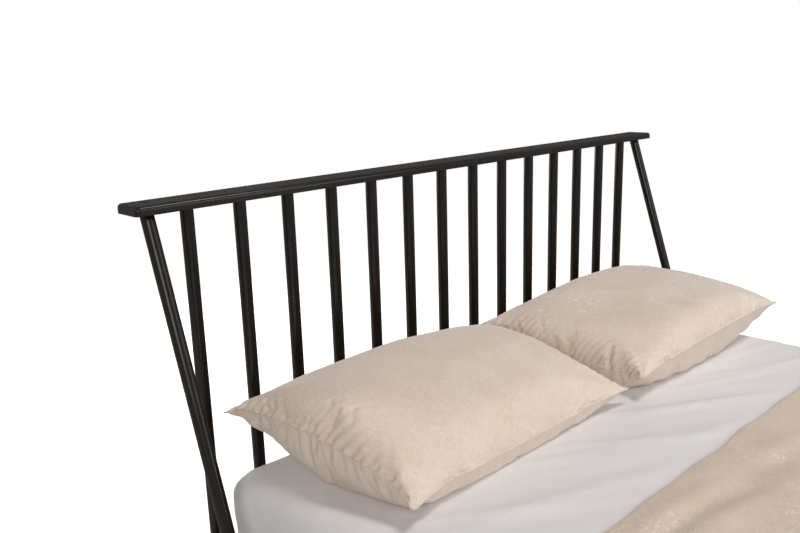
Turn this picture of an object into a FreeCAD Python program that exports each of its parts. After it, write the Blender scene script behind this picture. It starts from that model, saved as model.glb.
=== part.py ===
import FreeCAD, Part
import math
import os

# A platform bed with a spindle headboard, dressed with a mattress, a fitted sheet, two pillows and a duvet.
# Millimetres. X runs across the bed, Y from the foot to the head, Z up from the floor.

# Mattress and sheet
mattress_width = 1520.0
mattress_length = 2028.0
mattress_height = 248.0
mattress_corner_radius = 60.0
mattress_edge_radius = 52.0
mattress_base_radius = 18.0
sheet_thickness = 1.7
sheet_hem_height = 8.0

# Recess in the platform
mattress_gap = 9.0
recess_depth = 30.0

# Headboard
spindle_count = 14
spindle_length = 754.0
spindle_diameter = 26.0
spindle_setback = 36.0
spindle_beam_depth = 30.0
tenon_diameter = 18.0
post_diameter = 26.0
post_rake_degrees = 18.26
post_step = 81.3
post_inset = 70.8
rail_width = 80.0
rail_thickness = 18.0
rail_overhang = 38.0
rail_top_radius = 8.0
rail_corner_radius = 9.0
rail_socket_depth = 12.0
tenon_end_sink = 0.4

# Platform
leg_height = 200.0
apron_height = 100.0
apron_thickness = 28.0
head_beam_thickness = 52.0
ledge_thickness = 30.0
side_ledge_width = 106.0
foot_ledge_width = 106.0
head_ledge_overhang = 44.0
ledge_edge_radius = 8.0
ledge_corner_radius = 30.0
post_block_length = 96.0
post_block_depth = 55.0
post_block_inset = 8.0
post_socket_floor = 10.0

# Legs
corner_block_size = 100.0
corner_block_thickness = 45.0
leg_top_diameter = 46.0
leg_foot_diameter = 28.0
leg_splay = 35.0
glide_diameter = 24.0
glide_thickness = 4.0
leg_bolt_diameter = 10.0
leg_bolt_in_leg = 40.0
leg_bolt_in_block = 35.0

# Slats and their supports
slat_count = 11
slat_width = 110.0
slat_thickness = 20.0
slat_end_gap = 3.0
cleat_width = 28.0
cleat_height = 28.0
beam_width = 45.0
beam_height = 70.0
hanger_plate = 3.0
hanger_reach = 45.0
hanger_cheek = 50.0
hanger_flange = 22.0
centre_leg_diameter = 45.0
centre_leg_spacing = 900.0
centre_leg_lift = 45.0
centre_tenon_diameter = 20.0
centre_tenon_length = 25.0
foot_disc_diameter = 50.0
foot_disc_thickness = 8.0
foot_rim_chamfer = 2.0
foot_stem_diameter = 12.0
foot_stem_engagement = 50.0
foot_stem_headroom = 20.0

# Frame bolts and barrel nuts
bolt_diameter = 8.0
bolt_head_diameter = 16.0
bolt_head_thickness = 4.0
bolt_reach = 52.0
bolt_margin = 24.0
bolt_spacing = 30.0
nut_diameter = 12.0
nut_length = 20.0
nut_setback = 40.0

# Pillows
pillow_length = 745.0
pillow_depth = 460.0
pillow_draw = 16.0
pillow_gap = 16.0
pillow_pair_offset = 70.0
pillow_seam_half = 4.0
left_pillow_skew = 60.0
left_pillow_seam_height = 78.0
left_pillow_crown = 77.0
left_pillow_tilt_degrees = 9.0
left_pillow_roll_degrees = 0.0
right_pillow_skew = 54.0
right_pillow_seam_height = 92.0
right_pillow_crown = 69.0
right_pillow_tilt_degrees = 5.6
right_pillow_roll_degrees = 1.4
pillow_settle = 16.0
pillow_fullness = 2.6

# Duvet
duvet_thickness = 16.0
duvet_head_setback = 725.0
duvet_drop_start = 62.0
duvet_hem_clearance = 25.0
duvet_side_half_folds = 8
duvet_foot_half_folds = 10
duvet_fold_depth = 16.0
duvet_flare = 24.0

# Fits
socket_clearance = 0.1
running_clearance = 0.3
soft_clearance = 0.3
hanger_clearance = 0.3
tolerance = 1e-6

# Places worked out from the sizes
sheet_allowance = sheet_thickness + soft_clearance
half_mattress = mattress_width / 2
half_bed_width = half_mattress + sheet_allowance
half_recess = half_bed_width + mattress_gap
half_frame_width = half_recess + side_ledge_width
recess_length = mattress_length + 2 * sheet_allowance + 2 * mattress_gap
frame_length = foot_ledge_width + recess_length + spindle_setback + head_ledge_overhang
foot_edge = -frame_length / 2
head_edge = frame_length / 2
recess_foot = foot_edge + foot_ledge_width
recess_head = recess_foot + recess_length
spindle_y = recess_head + spindle_setback
mattress_foot = recess_foot + mattress_gap + sheet_allowance
mattress_head = mattress_foot + mattress_length

apron_bottom = leg_height
ledge_bottom = apron_bottom + apron_height
ledge_top = ledge_bottom + ledge_thickness
slat_top = ledge_top - recess_depth
slat_bottom = slat_top - slat_thickness
mattress_top = slat_top + mattress_height
bed_top = mattress_top + sheet_allowance
rail_bottom = ledge_top + spindle_length
rail_top = rail_bottom + rail_thickness
beam_bottom = slat_bottom - beam_height

post_x = half_recess + post_inset
post_slope = math.tan(math.radians(post_rake_degrees))
spindle_pitch = 2 * (post_x - post_step) / (spindle_count - 1)
spindle_places = [(i - (spindle_count - 1) / 2) * spindle_pitch for i in range(spindle_count)]
rail_half = post_x + rail_overhang
tenon_radius = tenon_diameter / 2
socket_radius = tenon_radius + socket_clearance

head_beam_front = spindle_y - head_beam_thickness / 2
head_beam_back = spindle_y + head_beam_thickness / 2
foot_apron_front = recess_foot - apron_thickness
apron_outer = half_recess + apron_thickness
foot_bolt_y = recess_foot - apron_thickness / 2
bolt_heights = [apron_bottom + bolt_margin, apron_bottom + bolt_margin + bolt_spacing]
nut_x = half_recess - nut_setback

SIDES = {"left": -1, "right": 1}


def vec(x, y, z):
    return FreeCAD.Vector(x, y, z)


def box(x0, x1, y0, y1, z0, z1):
    """A box between two corners, given in either order along X."""
    return Part.makeBox(abs(x1 - x0), y1 - y0, z1 - z0, vec(min(x0, x1), y0, z0))


def rod(start, end, radius):
    """A round bar between two points."""
    axis = end.sub(start)
    return Part.makeCylinder(radius, axis.Length, start, axis)


def upright_edges(shape):
    return [e for e in shape.Edges if abs(e.tangentAt(e.FirstParameter).z) > 1 - tolerance]


def edges_at_height(shape, z):
    return [e for e in shape.Edges if all(abs(v.Z - z) < tolerance for v in e.Vertexes)]


def between_heights(shape, z0, z1):
    """The part of a shape that lies between two heights."""
    b = shape.BoundBox
    return shape.common(box(b.XMin - 1, b.XMax + 1, b.YMin - 1, b.YMax + 1, z0, z1))


def rounded_block(half_width, y0, y1, z0, z1, corner_radius, top_radius):
    """A block with rounded upright corners and a rounded top edge."""
    block = box(-half_width, half_width, y0, y1, z0, z1)
    block = block.makeFillet(corner_radius, upright_edges(block))
    return block.makeFillet(top_radius, edges_at_height(block, z1))


def save(node, shape):
    shape.exportStep("parts/%s.step" % node)


def post_point(side, z):
    """A point of a raked post's axis, which meets the spindle plane at the rail's underside."""
    return vec(side * post_x, spindle_y - post_slope * (rail_bottom - z), z)


def post_tenon(side, z0, z1, radius):
    """A bar along a raked post's axis, cut level at both heights."""
    margin = tenon_diameter
    bar = rod(post_point(side, z0 - margin), post_point(side, z1 + margin), radius)
    return between_heights(bar, z0, z1)


post_socket_bottom = ledge_bottom - post_block_depth + post_socket_floor


# Headboard


def top_rail():
    y0 = spindle_y - rail_width / 2
    y1 = spindle_y + rail_width / 2
    bar = box(-rail_half, rail_half, y0, y1, rail_bottom, rail_top)
    bar = bar.makeFillet(rail_corner_radius, upright_edges(bar))
    bar = bar.makeFillet(rail_top_radius, edges_at_height(bar, rail_top))
    socket_top = rail_bottom + rail_socket_depth + socket_clearance
    sockets = [
        rod(vec(x, spindle_y, rail_bottom), vec(x, spindle_y, socket_top), socket_radius)
        for x in spindle_places
    ]
    sockets += [
        post_tenon(side, rail_bottom - rail_thickness, rail_top + rail_thickness, socket_radius)
        for side in SIDES.values()
    ]
    return bar.cut(sockets)


def spindle(x):
    shank = rod(vec(x, spindle_y, ledge_top), vec(x, spindle_y, rail_bottom), spindle_diameter / 2)
    low = vec(x, spindle_y, ledge_bottom - spindle_beam_depth)
    high = vec(x, spindle_y, rail_bottom + rail_socket_depth)
    return shank.fuse(rod(low, high, tenon_radius)).removeSplitter()


def raked_post(side):
    shank = post_tenon(side, ledge_top, rail_bottom, post_diameter / 2)
    tenon = post_tenon(side, post_socket_bottom, rail_top - tenon_end_sink, tenon_radius)
    return shank.fuse(tenon).removeSplitter()


def post_socket(side):
    return post_tenon(side, post_socket_bottom - socket_clearance, ledge_top + ledge_thickness, socket_radius)


def post_block(side):
    y_mid = post_point(side, ledge_bottom - post_block_depth / 2).y
    block = box(
        side * apron_outer,
        side * (half_frame_width - post_block_inset),
        y_mid - post_block_length / 2,
        y_mid + post_block_length / 2,
        ledge_bottom - post_block_depth,
        ledge_bottom,
    )
    return block.cut(post_socket(side))


# Platform


def side_ledge(side):
    board = box(side * half_recess, side * half_frame_width, foot_edge, head_edge, ledge_bottom, ledge_top)
    outer = [e for e in upright_edges(board) if abs(e.Vertexes[0].X) > half_recess + 1]
    board = board.makeFillet(ledge_corner_radius, outer)
    rim = [
        e
        for e in edges_at_height(board, ledge_top)
        if any(abs(v.X) > half_recess + 1 for v in e.Vertexes)
    ]
    return board.makeFillet(ledge_edge_radius, rim).cut(post_socket(side))


def cross_ledge(y0, y1, outer_y):
    board = box(-half_recess, half_recess, y0, y1, ledge_bottom, ledge_top)
    rim = [
        e
        for e in edges_at_height(board, ledge_top)
        if all(abs(v.Y - outer_y) < tolerance for v in e.Vertexes)
    ]
    return board.makeFillet(ledge_edge_radius, rim)


def head_ledge():
    board = cross_ledge(recess_head, head_edge, head_edge)
    return board.cut([
        rod(vec(x, spindle_y, ledge_bottom), vec(x, spindle_y, ledge_top), socket_radius)
        for x in spindle_places
    ])


def bolt_holes(side, y, inner_y):
    """Bores for the two bolts of one corner, and for their barrel nuts from the inner face."""
    radius = bolt_diameter / 2 + socket_clearance
    reach = half_recess - bolt_reach - bolt_diameter
    into = 1 if y > inner_y else -1
    bottom = y + into * (nut_length / 2 + socket_clearance)
    holes = []
    for z in bolt_heights:
        holes.append(rod(vec(side * reach, y, z), vec(side * apron_outer, y, z), radius))
        nut_bore = rod(vec(side * nut_x, inner_y, z), vec(side * nut_x, bottom, z), nut_diameter / 2)
        holes.append(nut_bore)
    return holes


def side_apron(side):
    board = box(
        side * half_recess, side * apron_outer, foot_apron_front, head_beam_back, apron_bottom, ledge_bottom
    )
    holes = bolt_holes(side, foot_bolt_y, recess_foot) + bolt_holes(side, spindle_y, head_beam_front)
    return board.cut(holes)


def cross_rail(y0, y1, bolt_y, inner_y):
    rail = box(-half_recess, half_recess, y0, y1, apron_bottom, ledge_bottom)
    holes = []
    for side in SIDES.values():
        holes += bolt_holes(side, bolt_y, inner_y)
    return rail.cut(holes)


def foot_apron():
    return cross_rail(foot_apron_front, recess_foot, foot_bolt_y, recess_foot)


def head_beam():
    beam = cross_rail(head_beam_front, head_beam_back, spindle_y, head_beam_front)
    socket_bottom = ledge_bottom - spindle_beam_depth - socket_clearance
    return beam.cut([
        rod(vec(x, spindle_y, socket_bottom), vec(x, spindle_y, ledge_bottom), socket_radius)
        for x in spindle_places
    ])


def frame_bolts():
    bolts = []
    for side in SIDES.values():
        for y in (foot_bolt_y, spindle_y):
            for z in bolt_heights:
                tip = vec(side * (half_recess - bolt_reach), y, z)
                face = vec(side * apron_outer, y, z)
                cap = vec(side * (apron_outer + bolt_head_thickness), y, z)
                shank = rod(tip, face, bolt_diameter / 2)
                bolts.append(shank.fuse(rod(face, cap, bolt_head_diameter / 2)).removeSplitter())
    return Part.makeCompound(bolts)


def barrel_nuts():
    nuts = []
    reach = vec(nut_diameter, 0, 0)
    for side in SIDES.values():
        for y in (foot_bolt_y, spindle_y):
            for z in bolt_heights:
                middle = vec(side * nut_x, y, z)
                half = vec(0, nut_length / 2, 0)
                body = rod(middle.sub(half), middle.add(half), nut_diameter / 2 - socket_clearance)
                thread = rod(middle.sub(reach), middle.add(reach), bolt_diameter / 2 + socket_clearance)
                nuts.append(body.cut(thread))
    return Part.makeCompound(nuts)


# Legs


class Corner:
    """One corner of the platform: its block, leg, leg bolt and glide."""

    def __init__(self, name, side, end):
        self.name = name
        inner_y = head_beam_front if end > 0 else recess_foot
        self.side = side
        self.end = end
        self.inner_x = side * half_recess
        self.inner_y = inner_y
        top_x = side * (half_recess - corner_block_size / 2)
        top_y = inner_y - end * corner_block_size / 2
        self.top = vec(top_x, top_y, leg_height)
        self.foot = vec(top_x + side * leg_splay, top_y + end * leg_splay, glide_thickness)
        self.axis = self.top.sub(self.foot).normalize()

    def along(self, distance):
        """The point of the leg's axis at a distance above its top."""
        return self.top.add(vec(*self.axis).multiply(distance))

    def bolt_bore(self):
        radius = leg_bolt_diameter / 2 + socket_clearance
        low = self.along(-leg_bolt_in_leg - socket_clearance)
        return rod(low, self.along(leg_bolt_in_block + socket_clearance), radius)

    def block(self):
        y_far = self.inner_y - self.end * corner_block_size
        y0, y1 = sorted((self.inner_y, y_far))
        x_far = self.inner_x - self.side * corner_block_size
        top = apron_bottom + corner_block_thickness
        return box(self.inner_x, x_far, y0, y1, apron_bottom, top).cut(self.bolt_bore())

    def leg(self):
        length = self.top.sub(self.foot).Length
        taper = (leg_top_diameter - leg_foot_diameter) / 2 / length
        spare = leg_top_diameter
        cone = Part.makeCone(
            leg_foot_diameter / 2 - taper * spare,
            leg_top_diameter / 2 + taper * spare,
            length + 2 * spare,
            self.along(-length - spare),
            self.axis,
        )
        return between_heights(cone, glide_thickness, leg_height).cut(self.bolt_bore())

    def bolt(self):
        return rod(self.along(-leg_bolt_in_leg), self.along(leg_bolt_in_block), leg_bolt_diameter / 2)

    def glide(self):
        return Part.makeCylinder(glide_diameter / 2, glide_thickness, vec(self.foot.x, self.foot.y, 0))


corners = [
    Corner("%s_%s" % (end_name, side_name), side, end)
    for end_name, end in (("foot", -1), ("head", 1))
    for side_name, side in SIDES.items()
]


# Slats and their supports


def centre_leg_y(end):
    return (recess_foot + head_beam_front) / 2 + end * centre_leg_spacing / 2


def centre_beam():
    inset = hanger_plate + hanger_clearance
    beam = box(
        -beam_width / 2,
        beam_width / 2,
        recess_foot + inset,
        head_beam_front - inset,
        beam_bottom,
        slat_bottom,
    )
    sockets = []
    for end in (-1, 1):
        low = vec(0, centre_leg_y(end), beam_bottom)
        high = vec(0, centre_leg_y(end), beam_bottom + centre_tenon_length + socket_clearance)
        sockets.append(rod(low, high, centre_tenon_diameter / 2 + socket_clearance))
    return beam.cut(sockets)


def beam_hanger(face_y, inward):
    """A folded steel shoe: a flange on the rail's face, two cheeks and a floor under the beam."""
    inner = beam_width / 2 + hanger_clearance
    outer = inner + hanger_plate
    top = beam_bottom + hanger_cheek
    y0, y1 = sorted((face_y, face_y + inward * hanger_reach))
    f0, f1 = sorted((face_y, face_y + inward * hanger_plate))
    shoe = box(-outer, outer, y0, y1, beam_bottom - hanger_plate, top)
    shoe = shoe.cut(box(-inner, inner, y0, y1, beam_bottom, top))
    flange = box(-outer - hanger_flange, outer + hanger_flange, f0, f1, beam_bottom - hanger_plate, top)
    return shoe.fuse(flange).removeSplitter()


def beam_hangers():
    return Part.makeCompound([beam_hanger(recess_foot, 1), beam_hanger(head_beam_front, -1)])


def centre_leg(end):
    y = centre_leg_y(end)
    post = rod(vec(0, y, centre_leg_lift), vec(0, y, beam_bottom), centre_leg_diameter / 2)
    tenon_top = vec(0, y, beam_bottom + centre_tenon_length)
    tenon = rod(vec(0, y, beam_bottom), tenon_top, centre_tenon_diameter / 2)
    bore_top = vec(0, y, centre_leg_lift + foot_stem_engagement + foot_stem_headroom)
    bore = rod(vec(0, y, centre_leg_lift), bore_top, foot_stem_diameter / 2 + running_clearance)
    return post.fuse(tenon).removeSplitter().cut(bore)


def levelling_foot(end):
    y = centre_leg_y(end)
    disc = Part.makeCylinder(foot_disc_diameter / 2, foot_disc_thickness, vec(0, y, 0))
    disc = disc.makeChamfer(foot_rim_chamfer, edges_at_height(disc, foot_disc_thickness))
    stem_top = vec(0, y, centre_leg_lift + foot_stem_engagement)
    stem = rod(vec(0, y, foot_disc_thickness), stem_top, foot_stem_diameter / 2)
    return disc.fuse(stem).removeSplitter()


def slat_cleat(side):
    return box(
        side * (half_recess - cleat_width),
        side * half_recess,
        recess_foot,
        head_beam_front,
        slat_bottom - cleat_height,
        slat_bottom,
    )


def slat(index):
    pitch = recess_length / slat_count
    middle = recess_foot + (index + 0.5) * pitch
    reach = half_recess - slat_end_gap
    return box(-reach, reach, middle - slat_width / 2, middle + slat_width / 2, slat_bottom, slat_top)


# Bedding


def mattress():
    block = rounded_block(
        half_mattress,
        mattress_foot,
        mattress_head,
        slat_top,
        mattress_top,
        mattress_corner_radius,
        mattress_edge_radius,
    )
    return block.makeFillet(mattress_base_radius, edges_at_height(block, slat_top))


def over_mattress(allowance, z0):
    """The mattress's outline grown all round and upwards by an allowance, down to a height."""
    return rounded_block(
        half_mattress + allowance,
        mattress_foot - allowance,
        mattress_head + allowance,
        z0,
        mattress_top + allowance,
        mattress_corner_radius + allowance,
        mattress_edge_radius + allowance,
    )


def fitted_sheet():
    hem = slat_top + mattress_base_radius + sheet_hem_height
    return over_mattress(sheet_allowance, hem).cut(over_mattress(soft_clearance, slat_top))


def pillow_section(along, half_depth, skew, crown, belly):
    """Two arcs that meet at the seam, front and back; a skew carries the back edge over to the left."""
    front = vec(along + skew / 2, -half_depth, 0)
    back = vec(along - skew / 2, half_depth, 0)
    upper = Part.Arc(front, vec(along, 0, crown), back).toShape()
    lower = Part.Arc(back, vec(along, 0, -belly), front).toShape()
    return Part.Wire([upper, lower])


def pillow(side, skew, seam_height, crown, tilt_degrees, roll_degrees):
    """A knife-edge pillow that swells between its ends, with drawn-in long sides, leaning on the spindles.

    It lies flat on the sheet and against the spindles, and between the posts."""
    stations = (-1.0, -0.88, -0.55, 0.0, 0.55, 0.88, 1.0)
    belly = seam_height + pillow_settle
    sections = []
    for s in stations:
        swell = math.sqrt(1 - abs(s) ** pillow_fullness)
        half_depth = pillow_depth / 2 - pillow_draw * (1 - s * s)
        up = pillow_seam_half + (crown - pillow_seam_half) * swell
        down = pillow_seam_half + (belly - pillow_seam_half) * swell
        sections.append(pillow_section(s * pillow_length / 2, half_depth, skew, up, down))
    body = Part.makeLoft(sections, True, False)
    body.rotate(vec(0, 0, 0), vec(1, 0, 0), tilt_degrees)
    body.rotate(vec(0, 0, 0), vec(0, 1, 0), -roll_degrees)
    half_reach = pillow_depth / 2 * math.cos(math.radians(tilt_degrees))
    back_limit = spindle_y - spindle_diameter / 2 - soft_clearance
    side_limit = post_x - post_diameter / 2 - soft_clearance
    centre_x = pillow_pair_offset + side * (pillow_gap + pillow_length) / 2
    body.translate(vec(centre_x, back_limit - half_reach, bed_top + seam_height))
    b = body.BoundBox
    floor = bed_top + soft_clearance
    room = box(-side_limit, side_limit, b.YMin - 1, back_limit, floor, b.ZMax + 1)
    return body.common(room)


def drop_path(offset, fold, side_folds, foot_folds):
    """Edges of the duvet's hanging part, seen from above, from the left head corner round the foot.

    Each straight side is cut into half folds, which bow outwards and inwards by turns; with no fold depth
    they are straight."""
    x = half_mattress + offset
    foot_y = mattress_foot - offset
    radius = mattress_corner_radius + offset
    start_y = spindle_y - duvet_head_setback
    stretches = (
        (vec(-x, start_y, 0), vec(-x, foot_y + radius, 0), side_folds),
        (vec(-x + radius, foot_y, 0), vec(x - radius, foot_y, 0), foot_folds),
        (vec(x, foot_y + radius, 0), vec(x, start_y, 0), side_folds),
    )
    edges = []
    corner_middle = radius * (1 - math.sqrt(0.5))
    for number, (start, end, folds) in enumerate(stretches):
        step = end.sub(start).multiply(1 / folds)
        outward = vec(step.y, -step.x, 0).normalize()
        for i in range(folds):
            a = start.add(vec(*step).multiply(i))
            b = start.add(vec(*step).multiply(i + 1))
            bow = vec(*outward).multiply(-fold if i % 2 else fold)
            if fold:
                edges.append(Part.Arc(a, a.add(b).multiply(0.5).add(bow), b).toShape())
            else:
                edges.append(Part.LineSegment(a, b).toShape())
        if number < 2:
            turn = -1 if number == 0 else 1
            middle = vec(turn * (x - corner_middle), foot_y + corner_middle, 0)
            edges.append(Part.Arc(end, middle, stretches[number + 1][0]).toShape())
    return edges


def drop_section(offset, fold, z):
    """The closed outline of the hanging part at one height: outer path, inner path and two end edges."""
    outer = drop_path(offset + duvet_thickness, fold, duvet_side_half_folds, duvet_foot_half_folds)
    inner = drop_path(offset, fold, duvet_side_half_folds, duvet_foot_half_folds)
    ends = [
        Part.LineSegment(outer[0].Vertexes[0].Point, inner[0].Vertexes[0].Point).toShape(),
        Part.LineSegment(outer[-1].Vertexes[-1].Point, inner[-1].Vertexes[-1].Point).toShape(),
    ]
    wire = Part.Wire(Part.__sortEdges__(outer + inner + ends))
    wire.translate(vec(0, 0, z))
    return wire


def duvet():
    inside = sheet_allowance + soft_clearance
    start = bed_top - duvet_drop_start
    hem = ledge_top + duvet_hem_clearance
    cap = over_mattress(inside + duvet_thickness, start).cut(over_mattress(inside, slat_top))
    b = cap.BoundBox
    head = spindle_y - duvet_head_setback
    cap = cap.common(box(b.XMin - 1, b.XMax + 1, b.YMin - 1, head, b.ZMin, b.ZMax + 1))
    top_section = drop_section(inside, 0, start)
    hem_section = drop_section(inside + duvet_flare, duvet_fold_depth, hem)
    drop = Part.makeLoft([hem_section, top_section], True, True)
    return cap.fuse(drop).removeSplitter()


def build():
    os.makedirs("parts", exist_ok=True)
    save("top_rail", top_rail())
    for number, x in enumerate(spindle_places, 1):
        save("spindle_%02d" % number, spindle(x))
    for name, side in SIDES.items():
        save("raked_post_" + name, raked_post(side))
        save("post_block_" + name, post_block(side))
        save("side_ledge_" + name, side_ledge(side))
        save("side_apron_" + name, side_apron(side))
        save("slat_cleat_" + name, slat_cleat(side))
    save("head_ledge", head_ledge())
    save("foot_ledge", cross_ledge(foot_edge, recess_foot, foot_edge))
    save("head_beam", head_beam())
    save("foot_apron", foot_apron())
    save("frame_bolts", frame_bolts())
    save("barrel_nuts", barrel_nuts())
    for corner in corners:
        save("leg_" + corner.name, corner.leg())
    save("corner_blocks", Part.makeCompound([c.block() for c in corners]))
    save("leg_bolts", Part.makeCompound([c.bolt() for c in corners]))
    save("leg_glides", Part.makeCompound([c.glide() for c in corners]))
    save("centre_beam", centre_beam())
    save("beam_hangers", beam_hangers())
    for name, end in (("foot", -1), ("head", 1)):
        save("centre_leg_" + name, centre_leg(end))
        save("levelling_foot_" + name, levelling_foot(end))
    for index in range(slat_count):
        save("slat_%02d" % (index + 1), slat(index))
    save("mattress", mattress())
    save("fitted_sheet", fitted_sheet())
    save("pillow_left", pillow(
        SIDES["left"],
        left_pillow_skew,
        left_pillow_seam_height,
        left_pillow_crown,
        left_pillow_tilt_degrees,
        left_pillow_roll_degrees,
    ))
    save("pillow_right", pillow(
        SIDES["right"],
        right_pillow_skew,
        right_pillow_seam_height,
        right_pillow_crown,
        right_pillow_tilt_degrees,
        right_pillow_roll_degrees,
    ))
    save("duvet", duvet())


build()
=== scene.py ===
import math

import bpy
import numpy as np
from mathutils import Matrix, Vector


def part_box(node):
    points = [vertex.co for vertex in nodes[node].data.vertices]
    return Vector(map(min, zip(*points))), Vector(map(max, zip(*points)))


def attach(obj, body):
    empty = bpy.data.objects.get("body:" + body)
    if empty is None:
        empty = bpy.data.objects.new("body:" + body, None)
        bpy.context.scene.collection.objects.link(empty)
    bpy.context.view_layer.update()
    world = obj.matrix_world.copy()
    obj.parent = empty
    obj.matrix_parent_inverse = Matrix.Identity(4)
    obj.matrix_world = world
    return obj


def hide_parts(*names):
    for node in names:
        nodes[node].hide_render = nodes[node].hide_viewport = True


# A platform bed with a black spindle headboard, made up with a fitted sheet, two pillows and a duvet.
# Lengths are metres in the CAD frame: X right seen from the foot, Y towards the head, Z up from the floor.

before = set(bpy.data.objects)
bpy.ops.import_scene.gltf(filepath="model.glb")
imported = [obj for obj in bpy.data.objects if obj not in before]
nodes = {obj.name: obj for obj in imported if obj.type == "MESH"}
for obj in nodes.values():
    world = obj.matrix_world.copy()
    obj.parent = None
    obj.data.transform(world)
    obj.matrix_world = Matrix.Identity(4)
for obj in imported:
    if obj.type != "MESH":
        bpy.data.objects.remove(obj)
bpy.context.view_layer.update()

# Places read from the frame
sheet_low, sheet_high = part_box("fitted_sheet")
mattress_low, mattress_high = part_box("mattress")
duvet_low, duvet_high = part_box("duvet")
bed_top = sheet_high.z
spindle_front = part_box("spindle_01")[0].y

# Mattress and sheet
mattress_corner = 0.060
mattress_edge = 0.052
mattress_base_edge = 0.018
sheet_thickness = 0.0017
sheet_allowance = sheet_high.x - mattress_high.x
sheet_step = 0.0105
sheet_crease_gain = 1.7
sheet_fine_fold = 0.0005
sheet_broad_fold = 0.0009
sheet_side_fold = 0.0012
sheet_loose_start = 0.005
sheet_loose_full = 0.05
sheet_corner_ear = 0.006
sheet_corner_gather = 0.0025
mattress_channel = 0.003
pressed_front = 0.60
pressed_left = -0.70
pressed_ease = 0.06

# Pillows
pillow_flat = (0.762, 0.508)
pillow_step = 0.007
pillow_start_loft = 0.012
pillow_frames = 20
pillow_pressure = 4.5
seam_shrink = 0.03
long_seam_draw = 0.35
short_seam_draw = 1.0
welt_radius = 0.0016
rest_gap = 0.0006
contact_softness = 0.004

# Duvet
duvet_thickness = 0.016
duvet_step = 0.009
duvet_flare = math.atan2(0.024, 0.138)
duvet_fold_depth = 0.016
duvet_head_taper = 0.5
duvet_taper_reach = 0.2
duvet_head_shift = 0.008
duvet_head_sway = 0.0035
duvet_sway_limit = 0.005
duvet_shift_reach = 0.12
duvet_puff = 0.0016
duvet_hem_lift = 0.001
duvet_side_half_folds = 8
duvet_foot_half_folds = 10
soft_gap = 0.0003

# Camera, read back from the photograph
camera_place = Vector((-1.5080, -0.2959, 1.3228))
camera_azimuth = math.radians(43.472)
camera_pitch = math.radians(13.730)
camera_roll = math.radians(-1.798)
camera_lens = 36.289
sensor_width = 36.0


# Mesh helpers

def grid_quads(index):
    """Quads between neighbours of a 2D array of vertex numbers, anticlockwise seen from above."""
    return np.stack([index[:-1, :-1], index[1:, :-1], index[1:, 1:], index[:-1, 1:]], -1).reshape(-1, 4)


def ring_quads(rings, around):
    """Quads between the rings of a surface that closes on itself."""
    index = np.arange(rings * around).reshape(rings, around)
    return grid_quads(np.hstack([index, index[:, :1]]))


def sewn_index(shape):
    """Vertex numbers of two grids that share their rims, and which points of the lower one are its own."""
    upper = np.arange(shape[0] * shape[1]).reshape(shape)
    inner = np.zeros(shape, bool)
    inner[1:-1, 1:-1] = True
    lower = upper.copy()
    lower[inner] = upper.size + np.arange(inner.sum())
    return upper, lower, inner


def sewn_values(upper, lower, inner):
    """Values of the upper grid's points, then of the lower one's own points."""
    return np.vstack([upper.reshape(-1, upper.shape[-1]), lower[inner]])


def sewn_faces(upper_index, lower_index):
    return np.vstack([grid_quads(upper_index), grid_quads(lower_index)[:, ::-1]])


def rim_loop(grid):
    """The rim of a grid as one closed loop."""
    return np.concatenate([grid[:-1, 0], grid[-1, :-1], grid[:0:-1, -1], grid[0, :0:-1]])


def refine(grid):
    """A grid with a new point between neighbours, by the four-point cubic rule along both directions."""
    for axis in (0, 1):
        grid = np.moveaxis(grid, axis, 0)
        before = np.concatenate([2 * grid[:1] - grid[1:2], grid[:-2]])
        after = np.concatenate([grid[2:], 2 * grid[-1:] - grid[-2:-1]])
        fine = np.empty((2 * len(grid) - 1, *grid.shape[1:]))
        fine[::2] = grid
        fine[1::2] = (9 * (grid[:-1] + grid[1:]) - before - after) / 16
        grid = np.moveaxis(fine, 0, axis)
    return grid


def make_piece(name, points, faces, materials, body, flat, material_index=None, seam=None):
    """A smooth mesh piece that rides on a body; flat gives its cloth coordinates in metres as a UV map.

    Edges between two vertices of the seam are sharp."""
    mesh = bpy.data.meshes.new(name)
    mesh.from_pydata(points.tolist(), [], faces)
    mesh.polygons.foreach_set("use_smooth", np.ones(len(mesh.polygons), bool))
    for material in materials:
        mesh.materials.append(material)
    if material_index is not None:
        mesh.polygons.foreach_set("material_index", material_index)
    corner_vertex = np.empty(len(mesh.loops), np.int32)
    mesh.loops.foreach_get("vertex_index", corner_vertex)
    layer = mesh.uv_layers.new(name="cloth")
    layer.data.foreach_set("uv", flat[corner_vertex].astype(np.float32).ravel())
    mesh.update()
    if seam is not None:
        on_seam = np.zeros(len(points), bool)
        on_seam[seam] = True
        ends = np.empty(2 * len(mesh.edges), np.int32)
        mesh.edges.foreach_get("vertices", ends)
        mesh.edges.foreach_set("use_edge_sharp", on_seam[ends].reshape(-1, 2).all(1))
    piece = bpy.data.objects.new(name, mesh)
    bpy.context.scene.collection.objects.link(piece)
    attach(piece, body)
    return piece


def smooth_step(value, low, high):
    """0 below low, 1 above high, and a cubic ease between them."""
    t = np.clip((value - low) / (high - low), 0, 1)
    return t * t * (3 - 2 * t)


def keep_above(value, softness):
    """A value bent smoothly so that it stays above 0: half of itself plus the root of its square."""
    return 0.5 * (value + np.sqrt(value * value + 4 * softness * softness))


def ripples(x, y, seed, count, shortest, longest):
    """A sum of cosine waves in seeded directions, about 1 high, for loose cloth."""
    rng = np.random.default_rng(seed)
    total = np.zeros_like(x)
    for _ in range(count):
        bearing = rng.uniform(0, math.pi)
        length = rng.uniform(shortest, longest)
        phase = rng.uniform(0, 2 * math.pi)
        along = x * math.cos(bearing) + y * math.sin(bearing)
        total += np.cos(2 * math.pi * along / length + phase)
    return total / math.sqrt(count)


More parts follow.
